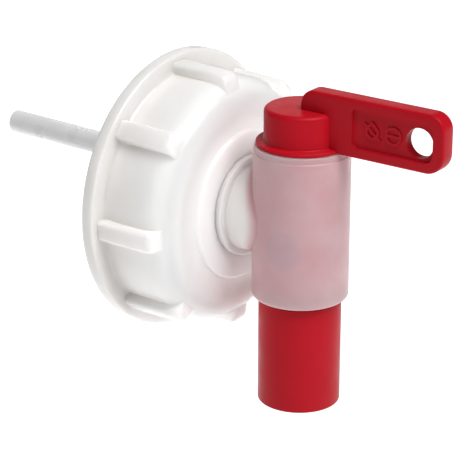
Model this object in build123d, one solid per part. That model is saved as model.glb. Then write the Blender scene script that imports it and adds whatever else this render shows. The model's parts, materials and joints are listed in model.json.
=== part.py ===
from build123d import *

import math
import os

os.makedirs("parts", exist_ok=True)

# A self-venting drum tap on a 61 mm screw cap: the cap, a vertical tap body whose stub swivels in
# the cap, and a red valve barrel with a lever, turned a quarter turn to open. Millimetres, +Z up.
# The cap's axis is the Y axis. Its open rim lies in the plane y = 0 and faces +Y, towards the
# container. The valve's axis is vertical, at y = tap_y.

# Screw cap
cap_depth = 23.5            # open rim to outer face
cap_wall_r = 32.6
shoulder_fillet = 7.5
flange_r = 37.3
flange_thickness = 3.8
flange_foot_fillet = 1.0
flange_front_fillet = 1.2
flange_rim_fillet = 0.8
mouth_chamfer = 0.9
disc_r = 19.7               # raised disc round the middle hole
disc_slope = 0.3
disc_height = 0.9
thread_root_r = 30.7
thread_crest_r = 29.2
thread_root_half = 1.3      # half the thread's width where it leaves the wall
thread_crest_half = 0.45
thread_embed = 0.3          # how far its root is let into the wall
thread_pitch = 4.0
thread_turns = 2.25
thread_start_y = -13.2
neck_wall_end_y = -17.5     # inside, the wall closes in on the gasket from here
gasket_seat_y = -18.6
cap_face_thickness = 2.5
boss_r = 14.0               # collar inside the cap that lengthens the middle hole
boss_length = 2.5
rib_count = 8
rib_first_angle = 3.5
rib_width = 5.3
rib_front_r = 34.9          # the ribs rise a little towards the flange
rib_back_r = 35.4
rib_front_y = -21.2
rib_front_fillet = 2.2
rib_edge_fillet = 1.0
rib_flange_overlap = 0.4

# Neck gasket
gasket_r = 28.4
gasket_hole_r = 22.5
gasket_thickness = 2.0
edge_fillet = 0.4           # the small round on the gasket, the disc, the collar and the spout's end

# Tap body: sleeve, and stub through the cap
tap_y = -41.9
sleeve_r = 12.5
sleeve_bottom_z = -20.6
sleeve_top_z = 20.1
sleeve_step_z = 18.4        # a fine step runs round just below the top edge
sleeve_step = 0.25
sleeve_bottom_fillet = 0.8
stub_r = 11.4
stub_end_y = -14.0
stub_end_chamfer = 0.6
collar_r = 13.4
collar_thickness = 1.65
channel_r = 8.8             # D-shaped liquid channel in the stub
channel_top_z = 1.0
channel_wall = 1.6          # left between the channel and the valve's bore, round the port
vent_z = 6.1
vent_passage_r = 2.2
vent_socket_y = -30.0

# Valve barrel, which runs on below the sleeve as the spout
barrel_r = 10.5
spout_r = 10.75
spout_step_z = -21.2
spout_step_height = 0.2
spout_end_z = -49.9
spout_bore_r = 8.2
liquid_top_z = 1.4
liquid_port_r = 4.9
liquid_port_z = -3.9
air_duct_x = 5.9
air_duct_r = 2.9
air_duct_bore_r = 1.9
top_hollow_r = 7.6
top_hollow_z = 11.0

# Lever handle: rim, knob and lever plate
rim_r = 11.8
rim_bottom_z = 20.2
rim_thickness = 1.0
rim_fillet = 0.3
knob_r = 9.8
knob_top_z = 30.0
knob_fillet = 1.2
lever_start = 0.75          # measured forwards from the valve's axis
lever_end = 41.85
lever_top_z = 35.4
lever_thickness = 5.0
lever_back_fillet = 4.0
lever_nose_top_fillet = 4.2
lever_nose_bottom_fillet = 5.0
lever_edge_fillet = 0.6
panel_start = 16.0
panel_end = 38.9
panel_bottom_z = 22.7
panel_top_z = 33.0
panel_depth = 1.2
panel_back_fillet = 1.2
panel_front_fillet = 2.6
tie_hole_r = 3.85
tie_hole_at = 34.6
tie_hole_z = 27.3
spigot_length = 7.2

# The closed valve rests this many degrees past square, against its stop
off_turn = 2.9
open_turn = -90.0
stop_angle = 45.0
stop_half_width = 8.0
stop_play = 0.5
stop_inner_r = 10.85
stop_r = 11.6
stop_depth = 1.7
stop_pocket_r = 11.75
stop_pocket_depth = 1.75
stop_root_overlap = 0.5

# Vent tube
tube_r = 3.07
tube_bore_r = 2.2
tube_end_y = 57.1

# Fits and seals
cap_hole_clearance = 0.05
running_clearance = 0.06
axial_gap = 0.05
seal_gap = 0.03
oring_section = 1.3
oring_groove_width = 1.7
upper_oring_z = 14.0
lower_oring_z = -14.5
stub_oring_y = -22.4
port_seal_width = 0.9
port_seal_depth = 1.0
port_seal_margin = 0.5      # from a port's edge to its seal
clip_thickness = 1.0
clip_z = -18.4
clip_inner_r = 9.7
clip_outer_r = 11.2
clip_gap_angle = 40
clip_groove_r = 11.5
clip_groove_width = 1.4
clip_seat_r = 9.6
lock_ring_r = 14.3
lock_ring_thickness = 1.7
lock_ring_fillet = 0.5
lock_ring_play = 0.1
lock_groove_r = 10.6
lock_gap_angle = 70
over = 1.0                  # a cutter runs this far past the faces that it cuts

cap_face_y = -cap_depth
disc_face_y = cap_face_y - disc_height
cap_inner_y = cap_face_y + cap_face_thickness
boss_end_y = cap_inner_y + boss_length
cap_hole_r = stub_r + cap_hole_clearance
bore_r = barrel_r + running_clearance
lock_ring_y = boss_end_y + lock_ring_play


def outline(points, corners=()):
    """A flat face on XY from its corner points; corners lists (x, y, fillet radius)."""
    face = make_face(Polyline(*points, close=True))
    for x, y, radius in corners:
        corner = face.vertices().sort_by_distance(Vertex(x, y, 0))[0]
        face = fillet(corner, radius)
    return face


def turned_about_y(points, corners=()):
    """A solid of revolution about the cap's axis, from (radius, y) points."""
    return revolve(outline(points, corners), Axis.Y)


def turned_about_z(points, corners=()):
    """A solid of revolution about the Z axis, from (radius, z) points."""
    return Rot(90, 0, 0) * revolve(outline(points, corners), Axis.Y)


def rod_y(radius, low_y, high_y, x=0.0, z=0.0):
    """A cylinder along Y between two values of y."""
    rod = Rot(90, 0, 0) * Cylinder(radius, high_y - low_y)
    return Pos(x, (low_y + high_y) / 2, z) * rod


def rod_x(radius, low_x, high_x, z=0.0):
    """A cylinder along X between two values of x, over the valve's axis."""
    rod = Rot(0, 90, 0) * Cylinder(radius, high_x - low_x)
    return Pos((low_x + high_x) / 2, 0, z) * rod


def rod_z(radius, low_z, high_z, x=0.0):
    """A vertical cylinder between two values of z."""
    return Pos(x, 0, (low_z + high_z) / 2) * Cylinder(radius, high_z - low_z)


def ring_z(outer_r, inner_r, low_z, high_z):
    """A vertical tube between two values of z."""
    return rod_z(outer_r, low_z, high_z) - rod_z(inner_r, low_z - over, high_z + over)


def sector(radius, low_z, high_z, from_angle, to_angle):
    """A pie slice of a vertical cylinder between two angles."""
    profile = outline([(0, low_z), (radius, low_z), (radius, high_z), (0, high_z)])
    upright = Rot(90, 0, 0) * profile
    return Rot(0, 0, from_angle) * revolve(upright, Axis.Z, revolution_arc=to_angle - from_angle)


def place_valve(part):
    """Move a valve piece from its own axis to its closed place in the tap body."""
    return Pos(0, tap_y, 0) * Rot(0, 0, off_turn) * part


def make_rib():
    """One grip rib on the cap's wall, standing out along +X and let into the wall and flange."""
    foot_r = (thread_root_r + cap_wall_r) / 2
    nose_foot_r = foot_r - 2
    back_y = rib_flange_overlap - flange_thickness
    profile = outline(
        [
            (nose_foot_r, rib_front_y),
            (rib_front_r, rib_front_y),
            (rib_back_r, back_y),
            (foot_r, back_y),
            (foot_r, neck_wall_end_y),
            (nose_foot_r, neck_wall_end_y - 2),
        ],
        [(rib_front_r, rib_front_y, rib_front_fillet)],
    )
    rib = Pos(0, 0, -rib_width / 2) * extrude(profile, rib_width)
    soft_edges = [
        edge
        for edge in rib.edges()
        if abs(edge.center().Z) > rib_width / 2 - 0.01 and edge.center().X > cap_wall_r + 0.8
    ]
    return fillet(soft_edges, rib_edge_fillet)


def make_thread():
    """The internal thread: a trapezoid carried along a helix about the cap's axis."""
    root_r = thread_root_r + thread_embed
    path = Helix(thread_pitch, thread_pitch * thread_turns, root_r)
    profile = make_face(
        Polyline(
            (root_r, 0, -thread_root_half),
            (root_r, 0, thread_root_half),
            (thread_crest_r, 0, thread_crest_half),
            (thread_crest_r, 0, -thread_crest_half),
            close=True,
        )
    )
    thread = sweep(profile, path=path, is_frenet=True)
    return Pos(0, thread_start_y, 0) * Rot(-90, 0, 0) * thread


def make_screw_cap():
    shell = turned_about_y(
        [
            (cap_hole_r, disc_face_y),
            (disc_r, disc_face_y),
            (disc_r + disc_slope, cap_face_y),
            (cap_wall_r, cap_face_y),
            (cap_wall_r, -flange_thickness),
            (flange_r, -flange_thickness),
            (flange_r, 0),
            (thread_root_r + mouth_chamfer, 0),
            (thread_root_r, -mouth_chamfer),
            (thread_root_r, neck_wall_end_y),
            (gasket_r, gasket_seat_y),
            (gasket_r, cap_inner_y),
            (boss_r, cap_inner_y),
            (boss_r, boss_end_y),
            (cap_hole_r, boss_end_y),
        ],
        [
            (cap_wall_r, cap_face_y, shoulder_fillet),
            (cap_wall_r, -flange_thickness, flange_foot_fillet),
            (flange_r, -flange_thickness, flange_front_fillet),
            (flange_r, 0, flange_rim_fillet),
            (disc_r, disc_face_y, edge_fillet),
        ],
    )
    rib = make_rib()
    for number in range(rib_count):
        angle = rib_first_angle + number * 360 / rib_count
        shell += Rot(0, -angle, 0) * rib
    return shell + make_thread()


def make_neck_gasket():
    face_y = cap_inner_y + gasket_thickness
    return turned_about_y(
        [
            (gasket_hole_r, cap_inner_y),
            (gasket_r, cap_inner_y),
            (gasket_r, face_y),
            (gasket_hole_r, face_y),
        ],
        [(gasket_r, face_y, edge_fillet), (gasket_hole_r, face_y, edge_fillet)],
    )


def make_sleeve():
    """The upright sleeve, still solid, about its own axis."""
    return turned_about_z(
        [
            (0, sleeve_bottom_z),
            (sleeve_r, sleeve_bottom_z),
            (sleeve_r, sleeve_step_z),
            (sleeve_r - sleeve_step, sleeve_step_z + sleeve_step),
            (sleeve_r - sleeve_step, sleeve_top_z),
            (0, sleeve_top_z),
        ],
        [(sleeve_r, sleeve_bottom_z, sleeve_bottom_fillet)],
    )


def make_stub():
    """The stub and its collar, still solid, about the cap's axis."""
    collar_back_y = disc_face_y - axial_gap
    collar_front_y = collar_back_y - collar_thickness
    seal_floor_r = stub_r - oring_section
    seal_front_y = stub_oring_y - oring_groove_width / 2
    seal_back_y = stub_oring_y + oring_groove_width / 2
    lock_front_y = lock_ring_y - axial_gap
    lock_back_y = lock_ring_y + lock_ring_thickness + axial_gap
    return turned_about_y(
        [
            (0, tap_y),
            (stub_r, tap_y),
            (stub_r, collar_front_y),
            (collar_r, collar_front_y),
            (collar_r, collar_back_y),
            (stub_r, collar_back_y),
            (stub_r, seal_front_y),
            (seal_floor_r, seal_front_y),
            (seal_floor_r, seal_back_y),
            (stub_r, seal_back_y),
            (stub_r, lock_front_y),
            (lock_groove_r, lock_front_y),
            (lock_groove_r, lock_back_y),
            (stub_r, lock_back_y),
            (stub_r, stub_end_y - stub_end_chamfer),
            (stub_r - stub_end_chamfer, stub_end_y),
            (0, stub_end_y),
        ],
        [(collar_r, collar_front_y, edge_fillet)],
    )


def make_liquid_channel():
    """The D-shaped channel under the vent, and the round port it opens through."""
    start_y = tap_y + bore_r + channel_wall
    channel = rod_y(channel_r, start_y, stub_end_y + over)
    channel -= Pos(0, tap_y, channel_top_z + stub_r) * Box(4 * stub_r, -4 * tap_y, 2 * stub_r)
    return channel + rod_y(liquid_port_r, tap_y, stub_end_y, z=liquid_port_z)


def make_tap_body():
    solid = Pos(0, tap_y, 0) * make_sleeve() + make_stub()
    bore = rod_z(bore_r, sleeve_bottom_z - over, sleeve_top_z + over)
    groove_half = clip_groove_width / 2
    clip_groove = rod_z(clip_groove_r, clip_z - groove_half, clip_z + groove_half)
    stop_pocket = sector(
        stop_pocket_r,
        sleeve_top_z - stop_pocket_depth - axial_gap,
        sleeve_top_z + over,
        stop_angle + open_turn - stop_half_width - stop_play,
        stop_angle + off_turn + stop_half_width + stop_play,
    )
    solid -= Pos(0, tap_y, 0) * (bore + clip_groove + stop_pocket)
    solid -= make_liquid_channel()
    solid -= rod_y(vent_passage_r, tap_y, stub_end_y, z=vent_z)
    return solid - rod_y(tube_r, vent_socket_y, stub_end_y + over, z=vent_z)


def make_stub_oring():
    ring = Torus(stub_r - oring_section / 2, oring_section / 2)
    return Pos(0, stub_oring_y, 0) * Rot(90, 0, 0) * ring


def make_lock_ring():
    """A split ring pushed sideways into the stub's groove, inside the cap."""
    inner_r = lock_groove_r + axial_gap
    ring = turned_about_y(
        [
            (inner_r, lock_ring_y),
            (lock_ring_r, lock_ring_y),
            (lock_ring_r, lock_ring_y + lock_ring_thickness),
            (inner_r, lock_ring_y + lock_ring_thickness),
        ],
        [(lock_ring_r, lock_ring_y + lock_ring_thickness, lock_ring_fillet)],
    )
    mouth_width = 2 * inner_r * math.sin(math.radians(lock_gap_angle / 2))
    mouth = Box(mouth_width, 3 * lock_ring_thickness, lock_ring_r)
    return ring - Pos(0, lock_ring_y + lock_ring_thickness / 2, -lock_ring_r) * mouth


def make_vent_tube():
    tube = rod_y(tube_r, vent_socket_y, tube_end_y, z=vent_z)
    return tube - rod_y(tube_bore_r, vent_socket_y - over, tube_end_y + over, z=vent_z)


def port_ring(port_r, z):
    """A flat-topped seal ring round a port, curved to the barrel's surface."""
    inner_r = port_r + port_seal_margin
    outer_r = inner_r + port_seal_width
    ring = rod_x(outer_r, -sleeve_r, 0, z) - rod_x(inner_r, -sleeve_r - over, over, z)
    height = outer_r + over
    return ring & ring_z(bore_r - seal_gap, barrel_r - port_seal_depth, z - height, z + height)


def make_port_seal():
    return port_ring(liquid_port_r, liquid_port_z)


def make_vent_seal():
    return port_ring(air_duct_bore_r, vent_z)


def make_barrel():
    body = turned_about_z(
        [
            (0, spout_end_z),
            (spout_r, spout_end_z),
            (spout_r, spout_step_z - spout_step_height),
            (barrel_r, spout_step_z),
            (barrel_r, rim_bottom_z),
            (0, rim_bottom_z),
        ],
        [(spout_r, spout_end_z, edge_fillet)],
    )
    body -= rod_z(spout_bore_r, spout_end_z - over, liquid_top_z)
    body += rod_z(air_duct_r, spout_end_z, liquid_top_z + over, x=air_duct_x)
    body -= rod_z(air_duct_bore_r, spout_end_z - over, vent_z, x=air_duct_x)
    body -= rod_x(air_duct_bore_r, -barrel_r - over, air_duct_x, vent_z)
    body -= rod_x(liquid_port_r, -barrel_r - over, 0, liquid_port_z)
    body -= rod_z(top_hollow_r, top_hollow_z, rim_bottom_z + over)
    groove_floor_r = barrel_r - oring_section
    groove_half = oring_groove_width / 2
    for middle_z in (upper_oring_z, lower_oring_z):
        body -= ring_z(sleeve_r, groove_floor_r, middle_z - groove_half, middle_z + groove_half)
    seat_half = clip_thickness / 2 + axial_gap
    body -= ring_z(sleeve_r, clip_seat_r, clip_z - seat_half, clip_z + seat_half)
    return body - make_port_seal() - make_vent_seal()


def make_barrel_oring(z):
    return Pos(0, 0, z) * Torus(barrel_r - oring_section / 2, oring_section / 2)


def make_barrel_clip():
    """A split ring in the barrel's groove that keeps the barrel in the sleeve."""
    ring = ring_z(clip_outer_r, clip_inner_r, clip_z - clip_thickness / 2, clip_z + clip_thickness / 2)
    half_gap = clip_gap_angle / 2
    return ring - sector(sleeve_r, clip_z - over, clip_z + over, 90 - half_gap, 90 + half_gap)


def make_lever_plate():
    """The flat lever, running forwards along -Y, with a sunk panel on both sides."""
    side_view = outline(
        [
            (-lever_start, rim_bottom_z),
            (-lever_start, lever_top_z),
            (-lever_end, lever_top_z),
            (-lever_end, rim_bottom_z),
        ],
        [
            (-lever_start, lever_top_z, lever_back_fillet),
            (-lever_end, lever_top_z, lever_nose_top_fillet),
            (-lever_end, rim_bottom_z, lever_nose_bottom_fillet),
        ],
    )
    plate = extrude(side_view, lever_thickness / 2, both=True)
    side_faces = plate.faces().filter_by(Axis.Z)
    plate = fillet(side_faces.edges(), lever_edge_fillet)
    panel = outline(
        [
            (-panel_start, panel_bottom_z),
            (-panel_start, panel_top_z),
            (-panel_end, panel_top_z),
            (-panel_end, panel_bottom_z),
        ],
        [
            (-panel_start, panel_bottom_z, panel_back_fillet),
            (-panel_start, panel_top_z, panel_back_fillet),
            (-panel_end, panel_top_z, panel_front_fillet),
            (-panel_end, panel_bottom_z, panel_front_fillet),
        ],
    )
    floor = lever_thickness / 2 - panel_depth
    cut_depth = panel_depth + over
    plate -= Pos(0, 0, floor) * extrude(panel, cut_depth)
    plate -= Pos(0, 0, -floor - cut_depth) * extrude(panel, cut_depth)
    hole = Pos(-tie_hole_at, tie_hole_z, 0) * Cylinder(tie_hole_r, 2 * lever_thickness)
    # from the drawing plane, where x runs along the lever, to the upright place
    return Rot(0, 0, 90) * Rot(90, 0, 0) * (plate - hole)


def make_lever_handle():
    rim = rod_z(rim_r, rim_bottom_z, rim_bottom_z + rim_thickness)
    rim = fillet(rim.edges().filter_by(GeomType.CIRCLE).sort_by(Axis.Z)[-1], rim_fillet)
    knob = rod_z(knob_r, rim_bottom_z, knob_top_z)
    knob = fillet(knob.edges().filter_by(GeomType.CIRCLE).sort_by(Axis.Z)[-1], knob_fillet)
    spigot = rod_z(top_hollow_r, rim_bottom_z - spigot_length, rim_bottom_z)
    stop = sector(
        stop_r,
        rim_bottom_z - stop_depth,
        rim_bottom_z + stop_root_overlap,
        stop_angle - stop_half_width,
        stop_angle + stop_half_width,
    )
    stop -= rod_z(stop_inner_r, rim_bottom_z - 2 * stop_depth, rim_bottom_z)
    return rim + knob + make_lever_plate() + spigot + stop


parts = {
    "screw_cap": make_screw_cap(),
    "neck_gasket": make_neck_gasket(),
    "tap_body": make_tap_body(),
    "stub_oring": make_stub_oring(),
    "lock_ring": make_lock_ring(),
    "vent_tube": make_vent_tube(),
    "valve_barrel": place_valve(make_barrel()),
    "lever_handle": place_valve(make_lever_handle()),
    "upper_oring": place_valve(make_barrel_oring(upper_oring_z)),
    "lower_oring": place_valve(make_barrel_oring(lower_oring_z)),
    "port_seal": place_valve(make_port_seal()),
    "vent_seal": place_valve(make_vent_seal()),
    "barrel_clip": place_valve(make_barrel_clip()),
}

for name, part in parts.items():
    export_step(part, f"parts/{name}.step")
    print(name, round(part.volume, 1))
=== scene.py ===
import json
import math

import bmesh
import bpy
from mathutils import Euler, Matrix, Vector


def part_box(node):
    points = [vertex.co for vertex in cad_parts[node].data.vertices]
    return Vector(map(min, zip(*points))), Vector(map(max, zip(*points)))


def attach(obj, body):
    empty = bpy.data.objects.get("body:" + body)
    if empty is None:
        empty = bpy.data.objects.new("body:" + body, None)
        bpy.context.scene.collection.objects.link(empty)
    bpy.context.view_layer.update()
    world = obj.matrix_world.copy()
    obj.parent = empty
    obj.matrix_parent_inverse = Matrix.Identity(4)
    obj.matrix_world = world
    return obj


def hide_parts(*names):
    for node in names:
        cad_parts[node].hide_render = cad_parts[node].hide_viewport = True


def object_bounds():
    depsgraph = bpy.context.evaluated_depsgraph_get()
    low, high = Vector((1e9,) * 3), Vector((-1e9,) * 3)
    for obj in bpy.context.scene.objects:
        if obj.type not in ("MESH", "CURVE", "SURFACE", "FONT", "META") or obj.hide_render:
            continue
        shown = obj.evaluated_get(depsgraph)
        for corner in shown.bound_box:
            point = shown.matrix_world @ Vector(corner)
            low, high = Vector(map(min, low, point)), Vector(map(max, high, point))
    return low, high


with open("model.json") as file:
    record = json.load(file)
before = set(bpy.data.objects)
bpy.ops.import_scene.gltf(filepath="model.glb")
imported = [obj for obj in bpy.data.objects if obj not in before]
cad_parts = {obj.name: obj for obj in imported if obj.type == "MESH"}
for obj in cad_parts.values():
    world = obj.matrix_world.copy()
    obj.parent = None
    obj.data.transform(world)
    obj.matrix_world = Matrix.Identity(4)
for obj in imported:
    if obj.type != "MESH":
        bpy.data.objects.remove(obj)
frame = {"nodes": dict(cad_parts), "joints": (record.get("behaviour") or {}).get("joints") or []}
cadBounds = [list(corner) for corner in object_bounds()]
mm = 0.001
joints = {joint["name"]: joint for joint in frame["joints"]}
tapY = joints["valve_turn"]["pos_m"][1]  # the valve's upright axis stands at x = 0 and this y
offTurn = math.radians(-90 - joints["valve_turn"]["range_deg"][0])  # how far past square the closed valve is
closeBy = 1e-6  # places nearer than this count as one
over = mm  # how far a cutter runs past what it cuts
drillSides = 48
print("frame loaded:", len(frame["nodes"]), "nodes")


# small hands: what is done over and over

def pick(piece):
    bpy.ops.object.select_all(action="DESELECT")
    piece.select_set(True)
    bpy.context.view_layer.objects.active = piece


def openEdit(piece):
    pick(piece)
    bpy.ops.object.mode_set(mode="EDIT")


def finishEdit(piece):
    bpy.ops.mesh.select_all(action="SELECT")
    bpy.ops.mesh.remove_doubles(threshold=0.002 * mm)
    bpy.ops.mesh.normals_make_consistent(inside=False)
    bpy.ops.object.mode_set(mode="OBJECT")
    return piece


def startPoint(name, place):
    # a single vertex to draw an outline from
    bpy.ops.object.select_all(action="DESELECT")
    bpy.ops.mesh.primitive_plane_add(size=mm, location=place)
    piece = bpy.context.active_object
    piece.name = name
    piece.data.name = name
    bpy.ops.object.transform_apply(location=True, rotation=True, scale=True)
    bpy.ops.object.mode_set(mode="EDIT")
    bpy.ops.mesh.select_mode(type="VERT")
    bpy.ops.mesh.select_all(action="SELECT")
    bpy.ops.mesh.merge(type="CENTER")
    return piece


def selectWhere(piece, test, kind="VERT"):
    # select what passes a test, of a vertex's place or of an edge itself
    bpy.ops.mesh.select_mode(type=kind)
    bpy.ops.mesh.select_all(action="DESELECT")
    shape = bmesh.from_edit_mesh(piece.data)
    if kind == "VERT":
        for vertex in shape.verts:
            vertex.select = test(vertex.co)
    else:
        for edge in shape.edges:
            edge.select = test(edge)
    shape.select_flush_mode()
    bmesh.update_edit_mesh(piece.data)


def arcSegments(radius, step=0.35 * mm, fewest=3, most=12):
    return max(fewest, min(most, round(radius / step) + 2))


def drawOutline(name, points, closed, toSpace):
    # points are (radius, along) or (radius, along, corner radius); toSpace says where they lie
    places = [toSpace(point[0], point[1]) for point in points]
    piece = startPoint(name, places[0])
    for here, there in zip(places, places[1:]):
        bpy.ops.mesh.extrude_region_move(TRANSFORM_OT_translate={"value": tuple(there - here)})
    if closed:
        selectWhere(piece, lambda co: min((co - places[0]).length, (co - places[-1]).length) < closeBy)
        bpy.ops.mesh.edge_face_add()
    for point, place in zip(points, places):
        if len(point) > 2:
            selectWhere(piece, lambda co: (co - place).length < closeBy)
            bpy.ops.mesh.bevel(offset=point[2], affect="VERTICES", segments=arcSegments(point[2]))
    return piece


def turned(name, points, axis, centre=(0, 0, 0), steps=128, closed=True):
    # a turned piece: an outline carried round an axis, "Y" for the cap's and "Z" for the valve's
    middle = Vector(centre)
    if axis == "Y":
        toSpace = lambda radius, along: middle + Vector((radius, along, 0))
        direction = (0, 1, 0)
    else:
        toSpace = lambda radius, along: middle + Vector((radius, 0, along))
        direction = (0, 0, 1)
    piece = drawOutline(name, points, closed, toSpace)
    bpy.ops.mesh.select_all(action="SELECT")
    bpy.ops.mesh.spin(steps=steps, dupli=False, angle=2 * math.pi, center=centre, axis=direction)
    return finishEdit(piece)


def rod(name, radius, start, end, sides=96):
    # a plain round bar
    start, end = Vector(start), Vector(end)
    turn = (end - start).to_track_quat("Z", "Y").to_euler()
    bpy.ops.object.select_all(action="DESELECT")
    bpy.ops.mesh.primitive_cylinder_add(
        vertices=sides, radius=radius, depth=(end - start).length, location=(start + end) / 2, rotation=turn
    )
    piece = bpy.context.active_object
    piece.name = name
    bpy.ops.object.transform_apply(location=True, rotation=True, scale=True)
    return piece


def block(name, low, high):
    low, high = Vector(low), Vector(high)
    bpy.ops.object.select_all(action="DESELECT")
    bpy.ops.mesh.primitive_cube_add(size=1, location=(low + high) / 2, scale=high - low)
    piece = bpy.context.active_object
    piece.name = name
    bpy.ops.object.transform_apply(location=True, rotation=True, scale=True)
    return piece


def combine(piece, tool, operation):
    # cut with a tool, join it on, or keep only what is inside it
    joined = piece.modifiers.new("combine", "BOOLEAN")
    joined.object = tool
    joined.operation = operation
    joined.solver = "EXACT"
    bpy.context.view_layer.objects.active = piece
    bpy.ops.object.modifier_apply(modifier=joined.name)
    bpy.data.objects.remove(tool)
    return piece


def weld(piece):
    # close the hairline gaps that joining leaves
    openEdit(piece)
    bpy.ops.mesh.select_mode(type="VERT")
    bpy.ops.mesh.select_all(action="SELECT")
    bpy.ops.mesh.remove_doubles(threshold=0.004 * mm)
    bpy.ops.mesh.dissolve_degenerate(threshold=0.002 * mm)
    bpy.ops.mesh.delete_loose()
    bpy.ops.object.mode_set(mode="OBJECT")


def roundEdges(piece, width, segments=3, angle=35):
    edge = piece.modifiers.new("round", "BEVEL")
    edge.width = width
    edge.segments = segments
    edge.limit_method = "ANGLE"
    edge.angle_limit = math.radians(angle)
    edge.harden_normals = False
    edge.use_clamp_overlap = True
    bpy.context.view_layer.objects.active = piece
    bpy.ops.object.modifier_apply(modifier=edge.name)


def smooth(piece, angle=35):
    pick(piece)
    bpy.ops.object.shade_smooth_by_angle(angle=math.radians(angle))


def turnWithValve(piece):
    # from square on the origin to the closed valve's place and angle
    piece.data.transform(Matrix.Translation((0, tapY, 0)) @ Matrix.Rotation(offTurn, 4, "Z"))


def dress(piece, material, body, slot, *nodes):
    piece.data.materials.clear()
    piece.data.materials.append(material)
    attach(piece, body)
    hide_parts(*nodes)


# materials: every pattern and zone is fixed to the piece by its Object coordinates

def newMaterial(name):
    material = bpy.data.materials.new(name)
    material.use_nodes = True
    shader = material.node_tree.nodes["Principled BSDF"]
    return material, material.node_tree, shader


def addNoise(tree, scale, detail=3, roughness=0.5):
    place = tree.nodes.new("ShaderNodeTexCoord")
    noise = tree.nodes.new("ShaderNodeTexNoise")
    noise.inputs["Scale"].default_value = scale
    noise.inputs["Detail"].default_value = detail
    noise.inputs["Roughness"].default_value = roughness
    tree.links.new(place.outputs["Object"], noise.inputs["Vector"])
    return noise.outputs["Fac"]


def addRamp(tree, source, first, second, start=0.3, end=0.7):
    # from one colour to another; start and end are where most of a noise lies
    ramp = tree.nodes.new("ShaderNodeValToRGB")
    tree.links.new(source, ramp.inputs["Fac"])
    low, high = ramp.color_ramp.elements
    low.position, high.position = start, end
    low.color, high.color = first, second
    return ramp.outputs["Color"]


def grey(value):
    return (value, value, value, 1)


def addReach(tree, look):
    # how far a point lies from a centre, an axis or a plane, as 0 before "start" and 1 past "end"
    place = tree.nodes.new("ShaderNodeTexCoord")
    offset = tree.nodes.new("ShaderNodeVectorMath")
    offset.operation = "SUBTRACT"
    offset.inputs[1].default_value = look["centre"]
    across = tree.nodes.new("ShaderNodeVectorMath")
    across.operation = "MULTIPLY"
    across.inputs[1].default_value = look["across"]
    reach = tree.nodes.new("ShaderNodeVectorMath")
    reach.operation = "LENGTH"
    spread = tree.nodes.new("ShaderNodeMapRange")
    spread.interpolation_type = "SMOOTHSTEP"
    spread.inputs["From Min"].default_value = look["start"]
    spread.inputs["From Max"].default_value = look["end"]
    tree.links.new(place.outputs["Object"], offset.inputs[0])
    tree.links.new(offset.outputs["Vector"], across.inputs[0])
    tree.links.new(across.outputs["Vector"], reach.inputs[0])
    tree.links.new(reach.outputs["Value"], spread.inputs["Value"])
    return spread.outputs["Result"]


def mixColours(tree, factor, first, second):
    mix = tree.nodes.new("ShaderNodeMix")
    mix.data_type = "RGBA"
    tree.links.new(factor, mix.inputs["Factor"])
    tree.links.new(first, mix.inputs["A"])
    tree.links.new(second, mix.inputs["B"])
    return mix.outputs["Result"]


def addBump(tree, shader, source, strength, distance):
    bump = tree.nodes.new("ShaderNodeBump")
    bump.inputs["Strength"].default_value = strength
    bump.inputs["Distance"].default_value = distance
    tree.links.new(source, bump.inputs["Height"])
    tree.links.new(bump.outputs["Normal"], shader.inputs["Normal"])


def moulded(name, look, glossScale=4, peelDepth=0.05 * mm):
    # a moulded plastic: slow colour drift, uneven gloss and the faint orange peel of a mould;
    # each zone's colour lies beyond its reach, and the last one's reach also says how clear it is
    material, tree, shader = newMaterial(name)
    drift = addNoise(tree, look["driftScale"])
    colour = addRamp(tree, drift, look["colour"], look["colourToo"])
    for zone in look.get("zones", ()):
        far = addRamp(tree, drift, zone["colour"], zone["colourToo"])
        reach = addReach(tree, zone)
        colour = mixColours(tree, reach, colour, far)
    if "clear" in look:
        within, beyond = look["clear"]
        clear = addRamp(tree, reach, grey(within), grey(beyond), 0, 1)
        tree.links.new(clear, shader.inputs["Transmission Weight"])
    tree.links.new(colour, shader.inputs["Base Color"])
    glossy, dull = look["roughness"]
    gloss = addRamp(tree, addNoise(tree, look["driftScale"] * glossScale), grey(glossy), grey(dull))
    tree.links.new(gloss, shader.inputs["Roughness"])
    addBump(tree, shader, addNoise(tree, look["peelScale"], detail=2), look["peel"], peelDepth)
    for socket, value in look["sockets"].items():
        shader.inputs[socket].default_value = value
    return material


capPlastic = moulded("naturalCapPlastic", {
    "colour": (0.975, 0.935, 0.90, 1), "colourToo": (0.985, 0.955, 0.93, 1), "driftScale": 45,
    "roughness": (0.16, 0.26), "peelScale": 900, "peel": 0.12,
    "sockets": {
        "IOR": 1.54, "Subsurface Weight": 1.0, "Subsurface Radius": (1.0, 1.0, 1.0),
        "Subsurface Scale": 5.5 * mm,
    },
    "zones": [
        {  # painted shade: the ribs are coloured darker, as they stand clear of the wall and let light through from both sides
            "centre": (0, 0, 0), "across": (1, 0, 1), "start": 33 * mm, "end": 35 * mm,
            "colour": (0.84, 0.82, 0.80, 1), "colourToo": (0.88, 0.865, 0.85, 1),
        },
        {  # painted shade: darker towards the flange, where the cap is thinner and more light passes through it
            "centre": (0, -23.5 * mm, 0), "across": (0, 1, 0), "start": 3 * mm, "end": 21 * mm,
            "colour": (0.715, 0.70, 0.68, 1), "colourToo": (0.775, 0.76, 0.745, 1),
        },
    ],
})
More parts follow.
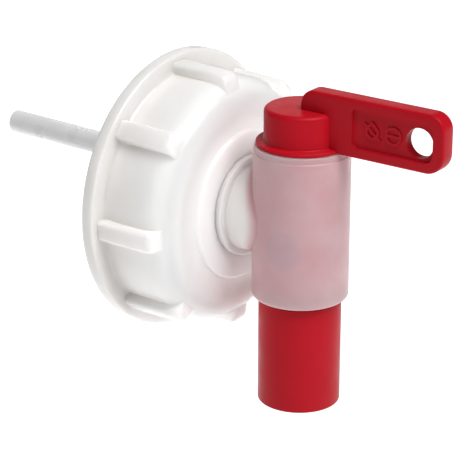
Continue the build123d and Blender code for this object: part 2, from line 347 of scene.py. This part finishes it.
bodyPlastic = moulded("clearBodyPlastic", {
    # painted shadow of the barrel's port, which shows faintly through the sleeve, kept at the closed valve's
    # place
    "colour": (0.755, 0.485, 0.535, 1), "colourToo": (0.835, 0.585, 0.64, 1), "driftScale": 110,
    "roughness": (0.30, 0.40), "peelScale": 900, "peel": 0.15,
    "sockets": {
        "IOR": 1.45, "Subsurface Weight": 1.0, "Subsurface Radius": (1.0, 1.0, 1.0),
        "Subsurface Scale": 4 * mm,
    },
    "zones": [
        {  # painted light: the sleeve is coloured pink for the red barrel behind it, which shows through
            "centre": (-12.1 * mm, tapY - 3 * mm, -4.6 * mm), "across": (1, 1, 1),
            "start": 4 * mm, "end": 6 * mm,
            "colour": (0.82, 0.485, 0.515, 1), "colourToo": (0.90, 0.59, 0.615, 1),
        },
        {  # the stub stands clear of the red barrel and is thicker
            "centre": (0, tapY, 0), "across": (1, 1, 0), "start": 12.5 * mm, "end": 15 * mm,
            "colour": (0.98, 0.88, 0.86, 1), "colourToo": (0.99, 0.91, 0.89, 1),
        },
    ],
    "clear": (0.36, 0.1),
})
redPlastic = moulded("redPlastic", {
    "colour": (0.43, 0.005, 0.013, 1), "colourToo": (0.475, 0.007, 0.017, 1), "driftScale": 50,
    "roughness": (0.30, 0.42), "peelScale": 1200, "peel": 0.2,
    "sockets": {"IOR": 1.5, "Specular IOR Level": 0.08},
})
tubePlastic = moulded("ventTubePlastic", {
    "colour": (0.715, 0.71, 0.715, 1), "colourToo": (0.74, 0.735, 0.74, 1), "driftScale": 40,
    "roughness": (0.25, 0.35), "peelScale": 700, "peel": 0.15,
    "sockets": {
        "IOR": 1.5, "Subsurface Weight": 0.8, "Subsurface Radius": (1.0, 0.95, 0.95),
        "Subsurface Scale": 2 * mm,
    },
})
gasketFoam = moulded("gasketFoam", {
    "colour": (0.74, 0.73, 0.69, 1), "colourToo": (0.80, 0.79, 0.75, 1), "driftScale": 80,
    "roughness": (0.7, 0.85), "peelScale": 2500, "peel": 0.8, "sockets": {},
})
sealSilicone = moulded("sealSilicone", {
    "colour": (0.66, 0.63, 0.62, 1), "colourToo": (0.72, 0.69, 0.68, 1), "driftScale": 80,
    "roughness": (0.4, 0.5), "peelScale": 1500, "peel": 0.2,
    "sockets": {"Subsurface Weight": 0.3, "Subsurface Scale": 1 * mm},
})
print("materials made")


# screw cap

capShape = {
    "wallRadius": 32.6 * mm, "shoulder": 7.5 * mm, "edge": 0.3 * mm,
    "flangeThickness": 3.8 * mm, "flangeFoot": 1 * mm, "flangeFront": 0.55 * mm, "flangeRim": 0.8 * mm,
    "discRadius": 19.7 * mm, "discHeight": 0.9 * mm, "discEdge": 0.4 * mm, "discSlope": 0.3 * mm,
    "discFoot": 0.25 * mm, "mouthChamfer": 0.9 * mm, "neckWallEnd": -17.5 * mm, "gasketSeat": -18.6 * mm,
    "threadRoot": 30.7 * mm, "threadCrest": 29.2 * mm, "threadPitch": 4 * mm, "threadTurns": 2.25,
    "threadStart": -13.2 * mm, "threadEmbed": 0.3 * mm, "threadRootHalf": 1.3 * mm,
    "threadCrestHalf": 0.45 * mm, "threadEdge": 0.2 * mm, "threadSteps": 96,
    "faceThickness": 2.5 * mm, "gasketRadius": 28.4 * mm, "bossRadius": 14 * mm, "bossLength": 2.5 * mm,
    "holeRadius": 11.45 * mm, "ribs": 8, "firstRib": 3.5, "ribWidth": 5.3 * mm, "ribFront": -21.2 * mm,
    "ribFrontRadius": 34.9 * mm, "ribBackRadius": 35.4 * mm, "ribEdge": 1 * mm, "ribNose": 2.2 * mm,
    "ribFoot": 0.7 * mm, "ribFrontFoot": 1.9 * mm, "ribOverlap": 0.4 * mm, "steps": 160,
}
# where the small round at the ribs' feet is made: how far in, how far ahead and behind, how hollow
ribFeet = {"round": 0.45 * mm, "inside": 0.9 * mm, "ahead": 0.5 * mm, "behind": 1.2 * mm, "hollow": 35}


def makeCapShell(shape):
    low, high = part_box("screw_cap")
    discFace = low[1]
    flangeRadius = high[0]
    face = discFace + shape["discHeight"]
    inside = face + shape["faceThickness"]
    bossEnd = inside + shape["bossLength"]
    wall, root, edge = shape["wallRadius"], shape["threadRoot"], shape["edge"]
    outline = [
        (shape["holeRadius"], discFace, edge),
        (shape["discRadius"], discFace, shape["discEdge"]),
        (shape["discRadius"] + shape["discSlope"], face, shape["discFoot"]),
        (wall, face, shape["shoulder"]),
        (wall, -shape["flangeThickness"], shape["flangeFoot"]),
        (flangeRadius, -shape["flangeThickness"], shape["flangeFront"]),
        (flangeRadius, 0, shape["flangeRim"]),
        (root + shape["mouthChamfer"], 0, edge),
        (root, -shape["mouthChamfer"], edge),
        (root, shape["neckWallEnd"]),
        (shape["gasketRadius"], shape["gasketSeat"]),
        (shape["gasketRadius"], inside),
        (shape["bossRadius"], inside),
        (shape["bossRadius"], bossEnd, edge),
        (shape["holeRadius"], bossEnd, edge),
    ]
    cap = turned("screwCap", outline, "Y", steps=shape["steps"])
    # the seams of the turning stay clear of the ribs' sides
    halfStep = 180 / shape["steps"]
    cap.data.transform(Matrix.Rotation(-math.radians(shape["firstRib"] + halfStep), 4, "Y"))
    return cap


def makeRib(shape):
    # one grip rib on +X: a block with a round nose and soft top edges
    foot = shape["threadRoot"] + shape["ribFoot"]
    front, back = shape["ribFront"], -shape["flangeThickness"] + shape["ribOverlap"]
    half = shape["ribWidth"] / 2
    top = shape["ribFrontRadius"]
    rib = block("rib", (foot, front, -half), (top, back, half))
    bpy.ops.object.mode_set(mode="EDIT")
    selectWhere(rib, lambda co: co.x > top - closeBy and co.y > back - closeBy)
    bpy.ops.transform.translate(value=(shape["ribBackRadius"] - top, 0, 0))
    # the foot reaches further in under the shoulder, where the wall turns in
    selectWhere(rib, lambda co: co.x < foot + closeBy and co.y < front + closeBy)
    bpy.ops.transform.translate(value=(-shape["ribFrontFoot"], 0, 0))
    topFront = lambda edge: all(v.co.x > top - closeBy and v.co.y < front + closeBy for v in edge.verts)
    selectWhere(rib, topFront, "EDGE")
    bpy.ops.mesh.bevel(offset=shape["ribNose"], segments=8)

    def onTopEdge(edge):
        first, second = (vertex.co for vertex in edge.verts)
        middle = (first + second) / 2
        onSide = abs(first.z - second.z) < closeBy and abs(abs(first.z) - half) < closeBy
        return onSide and middle.x > top - shape["ribNose"] and middle.y < back - closeBy

    selectWhere(rib, onTopEdge, "EDGE")
    bpy.ops.mesh.bevel(offset=shape["ribEdge"], segments=5)
    return finishEdit(rib)


def makeCapThread(shape):
    # a trapezoid tooth carried along a helix
    root, rootHalf = shape["threadRoot"] + shape["threadEmbed"], shape["threadRootHalf"]
    crest, crestHalf = shape["threadCrest"], shape["threadCrestHalf"]
    outline = [
        (root, -rootHalf),
        (crest, -crestHalf, shape["threadEdge"]),
        (crest, crestHalf, shape["threadEdge"]),
        (root, rootHalf),
    ]
    tooth = drawOutline("capThread", outline, True, lambda radius, along: Vector((radius, 0, along)))
    finishEdit(tooth)
    screw = tooth.modifiers.new("helix", "SCREW")
    screw.axis = "Z"
    screw.screw_offset = shape["threadPitch"] * shape["threadTurns"]
    screw.angle = 2 * math.pi * shape["threadTurns"]
    screw.steps = round(shape["threadSteps"] * shape["threadTurns"])
    screw.render_steps = screw.steps
    bpy.context.view_layer.objects.active = tooth
    bpy.ops.object.modifier_apply(modifier=screw.name)
    bpy.ops.object.mode_set(mode="EDIT")
    selectWhere(tooth, lambda edge: edge.is_boundary, "EDGE")
    bpy.ops.mesh.fill_holes(sides=0)
    finishEdit(tooth)
    alongCap = Matrix.Rotation(-math.pi / 2, 4, "X")
    tooth.data.transform(Matrix.Translation((0, shape["threadStart"], 0)) @ alongCap)
    return tooth


def softenRibFeet(cap, shape, feet):
    openEdit(cap)

    def atFoot(edge):
        if len(edge.link_faces) != 2:
            return False
        middle = (edge.verts[0].co + edge.verts[1].co) / 2
        outside = math.hypot(middle.x, middle.z) > shape["threadRoot"] - feet["inside"]
        between = shape["ribFront"] - feet["ahead"] < middle.y < -shape["flangeThickness"] - feet["behind"]
        hollow = edge.calc_face_angle_signed(0) < -math.radians(feet["hollow"])
        return outside and between and hollow

    selectWhere(cap, atFoot, "EDGE")
    bpy.ops.mesh.bevel(offset=feet["round"], segments=3, clamp_overlap=True)
    bpy.ops.object.mode_set(mode="OBJECT")


def makeCap(shape):
    cap = makeCapShell(shape)
    for number in range(shape["ribs"]):
        rib = makeRib(shape)
        angle = math.radians(shape["firstRib"] + number * 360 / shape["ribs"])
        rib.data.transform(Matrix.Rotation(-angle, 4, "Y"))
        combine(cap, rib, "UNION")
    weld(cap)
    softenRibFeet(cap, shape, ribFeet)
    combine(cap, makeCapThread(shape), "UNION")
    smooth(cap, 38)
    return cap


screwCap = makeCap(capShape)
dress(screwCap, capPlastic, "cap", "natural_cap", "screw_cap")
print("screw cap made:", len(screwCap.data.polygons), "faces")


# tap body: sleeve, stub and collar

bodyShape = {
    "sleeveRadius": 12.5 * mm, "bottomRound": 0.8 * mm, "step": 0.25 * mm, "stepDrop": 1.7 * mm,
    "stepEdge": 0.1 * mm, "topEdge": 0.2 * mm, "boreRadius": 10.56 * mm, "stubRadius": 11.4 * mm,
    "stubEdge": 0.6 * mm, "collarRadius": 13.4 * mm, "collarThickness": 1.65 * mm,
    "collarBack": -24.45 * mm, "collarFoot": 0.5 * mm, "collarEdge": 0.45 * mm, "collarBackEdge": 0.15 * mm,
    "junctionRound": 0.8 * mm, "junctionSlack": 0.12 * mm,
    "lockGroove": (-18.45 * mm, -16.65 * mm), "lockGrooveRadius": 10.6 * mm,
    "sealGroove": (-23.25 * mm, -21.55 * mm), "sealGrooveRadius": 10.1 * mm,
    "channelRadius": 8.8 * mm, "channelTop": 1 * mm, "channelWall": 1.6 * mm,
    "portRadius": 4.9 * mm, "portHeight": -3.9 * mm, "ventHeight": 6.1 * mm, "ventRadius": 2.2 * mm,
    "socketRadius": 3.07 * mm, "socketEnd": -30 * mm,
    "clipGroove": (-19.1 * mm, -17.7 * mm), "clipGrooveRadius": 11.5 * mm, "steps": 128,
}


def ringGroove(surface, groove, floor):
    # the four corners of a groove that runs round a turned piece
    return [(surface, groove[0]), (floor, groove[0]), (floor, groove[1]), (surface, groove[1])]


def makeTapBody(shape):
    low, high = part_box("tap_body")
    bottom, top, stubEnd = low[2], high[2], high[1]
    outer, stubOuter, boreRadius = shape["sleeveRadius"], shape["stubRadius"], shape["boreRadius"]
    stepStart = top - shape["stepDrop"]
    sleeve = turned("tapBody", [
        (0, bottom),
        (outer, bottom, shape["bottomRound"]),
        (outer, stepStart, shape["stepEdge"]),
        (outer - shape["step"], stepStart + shape["step"], shape["stepEdge"]),
        (outer - shape["step"], top, shape["topEdge"]),
        (0, top),
    ], "Z", (0, tapY, 0), shape["steps"], closed=False)
    collarFront = shape["collarBack"] - shape["collarThickness"]
    stub = turned("stub", [
        (0, tapY),
        (stubOuter, tapY),
        (stubOuter, collarFront, shape["collarFoot"]),
        (shape["collarRadius"], collarFront, shape["collarEdge"]),
        (shape["collarRadius"], shape["collarBack"], shape["collarBackEdge"]),
        (stubOuter, shape["collarBack"]),
        *ringGroove(stubOuter, shape["sealGroove"], shape["sealGrooveRadius"]),
        *ringGroove(stubOuter, shape["lockGroove"], shape["lockGrooveRadius"]),
        (stubOuter, stubEnd, shape["stubEdge"]),
        (0, stubEnd),
    ], "Y", steps=shape["steps"], closed=False)
    combine(sleeve, stub, "UNION")
    softenJunction(sleeve, shape)
    bore = turned("bore", [
        (0, bottom - over),
        (boreRadius, bottom - over),
        *ringGroove(boreRadius, shape["clipGroove"], shape["clipGrooveRadius"]),
        (boreRadius, top + over),
        (0, top + over),
    ], "Z", (0, tapY, 0), shape["steps"], closed=False)
    combine(sleeve, bore, "DIFFERENCE")
    channelStart = tapY + boreRadius + shape["channelWall"]
    channel = rod("channel", shape["channelRadius"], (0, channelStart, 0), (0, stubEnd + over, 0))
    wide, deep = 20 * mm, 60 * mm
    under = block("under", (-wide, -deep, -wide), (wide, wide, shape["channelTop"]))
    combine(channel, under, "INTERSECT")
    combine(sleeve, channel, "DIFFERENCE")
    for name, radius, height, start, end in (
        ("port", shape["portRadius"], shape["portHeight"], tapY, stubEnd - over),
        ("vent", shape["ventRadius"], shape["ventHeight"], tapY, stubEnd - over),
        ("socket", shape["socketRadius"], shape["ventHeight"], shape["socketEnd"], stubEnd + over),
    ):
        combine(sleeve, rod(name, radius, (0, start, height), (0, end, height), drillSides), "DIFFERENCE")
    weld(sleeve)
    smooth(sleeve)
    return sleeve


def softenJunction(body, shape):
    # a moulded round where the stub leaves the sleeve
    openEdit(body)
    slack = shape["junctionSlack"]

    def onJunction(edge):
        if len(edge.link_faces) != 2:
            return False
        ends = [vertex.co for vertex in edge.verts]
        onSleeve = all(abs(math.hypot(co.x, co.y - tapY) - shape["sleeveRadius"]) < slack for co in ends)
        onStub = all(abs(math.hypot(co.x, co.z) - shape["stubRadius"]) < slack for co in ends)
        return onSleeve and onStub

    selectWhere(body, onJunction, "EDGE")
    bpy.ops.mesh.bevel(offset=shape["junctionRound"], segments=4, clamp_overlap=True)
    bpy.ops.object.mode_set(mode="OBJECT")


tapBody = makeTapBody(bodyShape)
dress(tapBody, bodyPlastic, "tap", "clear_body", "tap_body")
print("tap body made:", len(tapBody.data.polygons), "faces")


# valve barrel and spout

barrelShape = {
    "radius": 10.5 * mm, "spoutRadius": 10.75 * mm, "spoutStep": -21.2 * mm, "spoutStepHeight": 0.2 * mm,
    "spoutEdge": 0.4 * mm, "mouthEdge": 0.3 * mm, "boreRadius": 8.2 * mm, "boreRound": 1 * mm,
    "liquidTop": 1.4 * mm, "hollowRadius": 7.6 * mm, "hollowFloor": 11 * mm,
    "portRadius": 4.9 * mm, "portHeight": -3.9 * mm, "ventHeight": 6.1 * mm,
    "ductPlace": 5.9 * mm, "ductRadius": 2.9 * mm, "ductBore": 1.9 * mm, "ductInset": 0.5 * mm,
    # start, end and floor radius: for the clip and for the lower and upper O-rings
    "grooves": (
        (-18.95 * mm, -17.85 * mm, 9.6 * mm), (-15.35 * mm, -13.65 * mm, 9.2 * mm),
        (13.15 * mm, 14.85 * mm, 9.2 * mm),
    ),
    "portSeat": 6.3 * mm, "ventSeat": 3.3 * mm, "seatFloor": 9.6 * mm, "seatEnd": -5 * mm,
    "seatReach": 8 * mm, "steps": 128,
}


def makeBarrel(shape):
    low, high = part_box("valve_barrel")
    bottom, top = low[2], high[2]
    radius, bore = shape["radius"], shape["boreRadius"]
    outline = [
        (0, shape["liquidTop"]),
        (bore, shape["liquidTop"], shape["boreRound"]),
        (bore, bottom, shape["mouthEdge"]),
        (shape["spoutRadius"], bottom, shape["spoutEdge"]),
        (shape["spoutRadius"], shape["spoutStep"] - shape["spoutStepHeight"]),
        (radius, shape["spoutStep"]),
    ]
    for start, end, floor in shape["grooves"]:
        outline += ringGroove(radius, (start, end), floor)
    outline += [
        (radius, top),
        (shape["hollowRadius"], top),
        (shape["hollowRadius"], shape["hollowFloor"]),
        (0, shape["hollowFloor"]),
    ]
    barrel = turned("valveBarrel", outline, "Z", (0, 0, 0), shape["steps"], closed=False)
    place, portHeight, ventHeight = shape["ductPlace"], shape["portHeight"], shape["ventHeight"]
    ductTop = (place, 0, shape["liquidTop"] + over)
    duct = rod("duct", shape["ductRadius"], (place, 0, bottom), ductTop, drillSides)
    within = rod("within", radius - shape["ductInset"], (0, 0, bottom - over), (0, 0, top), shape["steps"])
    combine(duct, within, "INTERSECT")
    combine(barrel, duct, "UNION")
    side = -radius - over
    for name, drill, start, end in (
        ("ductBore", shape["ductBore"], (place, 0, bottom - over), (place, 0, ventHeight)),
        ("ventPort", shape["ductBore"], (side, 0, ventHeight), (place, 0, ventHeight)),
        ("liquidPort", shape["portRadius"], (side, 0, portHeight), (0, 0, portHeight)),
    ):
        combine(barrel, rod(name, drill, start, end, drillSides), "DIFFERENCE")
    for seatRadius, height in ((shape["portSeat"], portHeight), (shape["ventSeat"], ventHeight)):
        # the shallow seats of the two port seals
        seat = rod("seat", seatRadius, (side, 0, height), (shape["seatEnd"], 0, height), drillSides)
        coreLow, coreHigh = (0, 0, height - shape["seatReach"]), (0, 0, height + shape["seatReach"])
        core = rod("core", shape["seatFloor"], coreLow, coreHigh, shape["steps"])
        combine(seat, core, "DIFFERENCE")
        combine(barrel, seat, "DIFFERENCE")
    smooth(barrel)
    turnWithValve(barrel)
    return barrel


valveBarrel = makeBarrel(barrelShape)
dress(valveBarrel, redPlastic, "valve", "red_plastic", "valve_barrel")
print("valve barrel made:", len(valveBarrel.data.polygons), "faces")


# lever handle: rim, knob, lever with its sunk panels and the raised sign

leverShape = {
    "rimRadius": 11.8 * mm, "rimThickness": 1 * mm, "rimFoot": 0.15 * mm, "rimEdge": 0.35 * mm,
    "knobRadius": 9.8 * mm, "knobTop": 30 * mm, "knobRound": 1.3 * mm, "knobFoot": 0.5 * mm,
    "spigotRadius": 7.6 * mm, "spigotLength": 7.2 * mm, "spigotEdge": 0.3 * mm,
    "start": 0.75 * mm, "end": 41.85 * mm, "height": 15.2 * mm, "thickness": 5 * mm, "edge": 0.7 * mm,
    "corners": {"innerTop": 4 * mm, "outerTop": 4.2 * mm, "outerBottom": 5 * mm},
    "panel": {
        "start": 16 * mm, "end": 38.9 * mm, "bottom": 22.7 * mm, "top": 33 * mm, "depth": 1.2 * mm,
        "inner": 1.2 * mm, "outer": 2.6 * mm, "edge": 0.35 * mm, "cutter": 4 * mm,
    },
    "hole": {"at": 34.6 * mm, "height": 27.3 * mm, "radius": 3.85 * mm, "reach": 10 * mm, "sides": 64},
    "steps": 128,
}
# the raised sign for "closed": a drop crossed out, and a ring with a bar
signShape = {
    "dropAt": 21.3 * mm, "ringAt": 27.3 * mm, "height": 27.6 * mm, "relief": 0.35 * mm, "line": 0.7 * mm,
    "dropSide": 3.9 * mm, "ringRadius": 2.4 * mm, "barLength": 6.4 * mm, "barAngle": 40, "barShare": 0.96,
}


def roundedPlate(name, low, high, thickness, rounds):
    # a flat plate in the YZ plane; rounds holds the (y, z, radius) of each corner to be rounded
    plate = block(name, (-thickness / 2, low[0], low[1]), (thickness / 2, high[0], high[1]))
    bpy.ops.object.mode_set(mode="EDIT")
    for y, z, radius in rounds:
        onCorner = lambda co: abs(co.y - y) < closeBy and abs(co.z - z) < closeBy
        selectWhere(plate, lambda edge: all(onCorner(vertex.co) for vertex in edge.verts), "EDGE")
        bpy.ops.mesh.bevel(offset=radius, segments=10)
    return finishEdit(plate)


def makeDrop(name, side, thickness, roundShare=0.9):
    # a square with three round corners, stood on the middle one
    half = side / 2
    rounds = [(y, z, half * roundShare) for y, z in ((-half, -half), (half, -half), (-half, half))]
    drop = roundedPlate(name, (-half, -half), (half, half), thickness, rounds)
    drop.data.transform(Matrix.Rotation(math.radians(45), 4, "X"))
    return drop


def makeBar(name, length, width, thickness, angle, roundShare=0.45):
    rounds = [(y, z, width * roundShare) for y in (-length / 2, length / 2) for z in (-width / 2, width / 2)]
    bar = roundedPlate(name, (-length / 2, -width / 2), (length / 2, width / 2), thickness, rounds)
    bar.data.transform(Matrix.Rotation(math.radians(angle), 4, "X"))
    return bar


def makeSign(shape, floor):
    # both symbols, let in to the panel's floor and standing up by the relief
    thickness = 2 * shape["relief"]
    line, radius = shape["line"], shape["ringRadius"]
    barThickness = thickness * shape["barShare"]
    drop = makeDrop("drop", shape["dropSide"], thickness)
    combine(drop, makeDrop("dropHole", shape["dropSide"] - 2 * line, 2 * over), "DIFFERENCE")
    combine(drop, makeBar("dropBar", shape["barLength"], line, barThickness, shape["barAngle"]), "UNION")
    drop.data.transform(Matrix.Translation((0, shape["ringAt"] - shape["dropAt"], 0)))
    ring = rod("ring", radius, (-thickness / 2, 0, 0), (thickness / 2, 0, 0), drillSides)
    combine(ring, rod("ringHole", radius - line, (-over, 0, 0), (over, 0, 0), drillSides), "DIFFERENCE")
    combine(ring, makeBar("ringBar", 2 * radius - line, line, barThickness, 0), "UNION")
    combine(ring, drop, "UNION")
    ring.data.transform(Matrix.Translation((floor, -shape["ringAt"], shape["height"])))
    return ring


def makeKnob(shape, rimBottom):
    rimTop = rimBottom + shape["rimThickness"]
    return turned("leverHandle", [
        (0, rimBottom - shape["spigotLength"]),
        (shape["spigotRadius"], rimBottom - shape["spigotLength"], shape["spigotEdge"]),
        (shape["spigotRadius"], rimBottom),
        (shape["rimRadius"], rimBottom, shape["rimFoot"]),
        (shape["rimRadius"], rimTop, shape["rimEdge"]),
        (shape["knobRadius"], rimTop, shape["knobFoot"]),
        (shape["knobRadius"], shape["knobTop"], shape["knobRound"]),
        (0, shape["knobTop"]),
    ], "Z", (0, 0, 0), shape["steps"], closed=False)


def makePanelCutter(panel, floor):
    # floor is where the sunk panel's floor lies, on either side of the lever
    inner, outer = -panel["start"], -panel["end"]
    sunk = roundedPlate("sunk", (outer, panel["bottom"]), (inner, panel["top"]), panel["cutter"], [
        (inner, panel["bottom"], panel["inner"]),
        (inner, panel["top"], panel["inner"]),
        (outer, panel["top"], panel["outer"]),
        (outer, panel["bottom"], panel["outer"]),
    ])
    roundEdges(sunk, panel["edge"], angle=50)
    sunk.data.transform(Matrix.Translation((floor + math.copysign(panel["cutter"] / 2, floor), 0, 0)))
    return sunk


def makeLever(shape):
    low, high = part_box("lever_handle")
    leverTop = high[2]
    rimBottom = leverTop - shape["height"]
    knob = makeKnob(shape, rimBottom)
    inner, outer = -shape["start"], -shape["end"]
    corners = shape["corners"]
    plate = roundedPlate("plate", (outer, rimBottom), (inner, leverTop), shape["thickness"], [
        (inner, leverTop, corners["innerTop"]),
        (outer, leverTop, corners["outerTop"]),
        (outer, rimBottom, corners["outerBottom"]),
    ])
    roundEdges(plate, shape["edge"], segments=4, angle=50)
    for side in (-1, 1):
        floor = side * (shape["thickness"] / 2 - shape["panel"]["depth"])
        combine(plate, makePanelCutter(shape["panel"], floor), "DIFFERENCE")
        combine(plate, makeSign(signShape, floor), "UNION")
    hole = shape["hole"]
    start, end = ((x, -hole["at"], hole["height"]) for x in (-hole["reach"], hole["reach"]))
    combine(plate, rod("drill", hole["radius"], start, end, hole["sides"]), "DIFFERENCE")
    combine(knob, plate, "UNION")
    smooth(knob)
    turnWithValve(knob)
    return knob


leverHandle = makeLever(leverShape)
dress(leverHandle, redPlastic, "valve", "red_plastic", "lever_handle")
print("lever handle made:", len(leverHandle.data.polygons), "faces")


# vent tube, gasket and lock ring

tubeShape = {"edge": 0.2 * mm, "steps": 64}
gasketShape = {"holeRadius": 22.5 * mm, "edge": 0.4 * mm, "steps": 128}
lockShape = {"clearance": 0.05 * mm, "frontEdge": 0.5 * mm, "backEdge": 0.2 * mm, "gap": 35, "steps": 128}


def makeVentTube(shape):
    low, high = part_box("vent_tube")
    radius, height = (high[0] - low[0]) / 2, (high[2] + low[2]) / 2
    tube = turned("ventTube", [
        (radius, low[1]),
        (radius, high[1], shape["edge"]),
        (bodyShape["ventRadius"], high[1], shape["edge"]),
        (bodyShape["ventRadius"], low[1]),
    ], "Y", (0, 0, height), shape["steps"])
    smooth(tube)
    return tube


def makeGasket(shape):
    low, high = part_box("neck_gasket")
    gasket = turned("neckGasket", [
        (shape["holeRadius"], low[1]),
        (high[0], low[1]),
        (high[0], high[1], shape["edge"]),
        (shape["holeRadius"], high[1], shape["edge"]),
    ], "Y", steps=shape["steps"])
    smooth(gasket)
    return gasket


def makeLockRing(shape):
    low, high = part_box("lock_ring")
    inner, outer = bodyShape["lockGrooveRadius"] + shape["clearance"], high[0]
    ring = turned("lockRing", [
        (inner, low[1]),
        (outer, low[1]),
        (outer, high[1], shape["frontEdge"]),
        (inner, high[1], shape["backEdge"]),
    ], "Y", steps=shape["steps"])
    # the gap, at the bottom of the ring, which lets it spring open
    half = inner * math.sin(math.radians(shape["gap"]))
    mouth = block("mouth", (-half, low[1] - over, -outer * 1.5), (half, high[1] + over, -outer * 0.5))
    combine(ring, mouth, "DIFFERENCE")
    smooth(ring)
    return ring


ventTube = makeVentTube(tubeShape)
dress(ventTube, tubePlastic, "tap", "vent_tube", "vent_tube")
neckGasket = makeGasket(gasketShape)
dress(neckGasket, gasketFoam, "cap", "gasket_foam", "neck_gasket")
lockRing = makeLockRing(lockShape)
dress(lockRing, capPlastic, "tap", "natural_cap", "lock_ring")
# the hidden seals and the clip stay as the frame has them, in their own materials
for name, material in (
    ("stub_oring", sealSilicone), ("upper_oring", sealSilicone), ("lower_oring", sealSilicone),
    ("port_seal", sealSilicone), ("vent_seal", sealSilicone), ("barrel_clip", redPlastic),
):
    for place in frame["nodes"][name].material_slots:
        place.material = material
print("small pieces made")


# the studio: floor, light and camera

studio = {
    "floorDrop": 300 * mm, "floorSize": 12, "floorColour": (0.90, 0.90, 0.90, 1),
    "floorRoughness": 0.9, "sky": 0.06,
    "glow": {"place": (0.6, 0.5, 0), "across": (1, 1, 0), "start": 1.2, "end": 3, "strength": 0.36},
    "suns": {
        "keySun": {"towards": (-0.06, -0.50, 0.86), "power": 3.1, "spread": 35},
        "backSun": {"towards": (0.60, 0.70, 0.33), "power": 0.3, "spread": 40},
        "glintSun": {"towards": (-0.45, -0.15, 0.88), "power": 0.2, "spread": 3},
        "glintSunToo": {"towards": (-0.30, -0.35, 0.88), "power": 0.2, "spread": 3},
    },
}
cameraPlace = {
    "azimuth": -52.141, "elevation": 21.039, "roll": 0.188, "distance": 548.08 * mm, "lens": 166.04,
    "target": (-11.724 * mm, tapY + 12.871 * mm, -3.525 * mm), "sensor": 36, "clipStart": 10 * mm,
}


def makeFloor(values):
    bpy.ops.object.select_all(action="DESELECT")
    height = cadBounds[0][2] - values["floorDrop"]
    bpy.ops.mesh.primitive_plane_add(size=values["floorSize"], location=(0, 0, height))
    floor = bpy.context.active_object
    floor.name = "floor"
    material, tree, shader = newMaterial("floorPaper")
    shader.inputs["Base Color"].default_value = values["floorColour"]
    shader.inputs["Roughness"].default_value = values["floorRoughness"]
    shader.inputs["Emission Color"].default_value = (1, 1, 1, 1)
    # the floor glows a little under and behind the object, and less further out
    glow = values["glow"]
    near = tree.nodes.new("ShaderNodeMapRange")
    near.inputs["To Min"].default_value = glow["strength"]
    near.inputs["To Max"].default_value = 0
    tree.links.new(addReach(tree, dict(glow, centre=glow["place"])), near.inputs["Value"])
    tree.links.new(near.outputs["Result"], shader.inputs["Emission Strength"])
    floor.data.materials.append(material)


def makeSky(values):
    world = bpy.data.worlds.new("softStudio")
    bpy.context.scene.world = world
    world.use_nodes = True
    background = world.node_tree.nodes["Background"]
    background.inputs["Color"].default_value = (1, 1, 1, 1)
    background.inputs["Strength"].default_value = values["sky"]


def makeSun(name, values):
    bpy.ops.object.light_add(type="SUN", location=(0, 0, 1))
    lamp = bpy.context.active_object
    lamp.name = name
    lamp.data.energy = values["power"]
    lamp.data.angle = math.radians(values["spread"])
    lamp.rotation_euler = Vector(values["towards"]).to_track_quat("Z", "Y").to_euler()


def makeCamera(values):
    facing = Euler((math.radians(90 - values["elevation"]), 0, math.radians(values["azimuth"]))).to_matrix()
    facing = facing @ Matrix.Rotation(math.radians(values["roll"]), 3, "Z")
    back = facing @ Vector((0, 0, 1))
    place = Vector(values["target"]) + back * values["distance"]
    bpy.ops.object.camera_add(location=place, rotation=facing.to_euler())
    camera = bpy.context.active_object
    camera.name = "camera"
    camera.data.lens = values["lens"]
    camera.data.sensor_width = values["sensor"]
    camera.data.clip_start = values["clipStart"]
    bpy.context.scene.camera = camera


makeFloor(studio)
makeSky(studio)
for name, values in studio["suns"].items():
    makeSun(name, values)
makeCamera(cameraPlace)
bpy.context.scene.view_settings.view_transform = "Standard"
print("studio made")
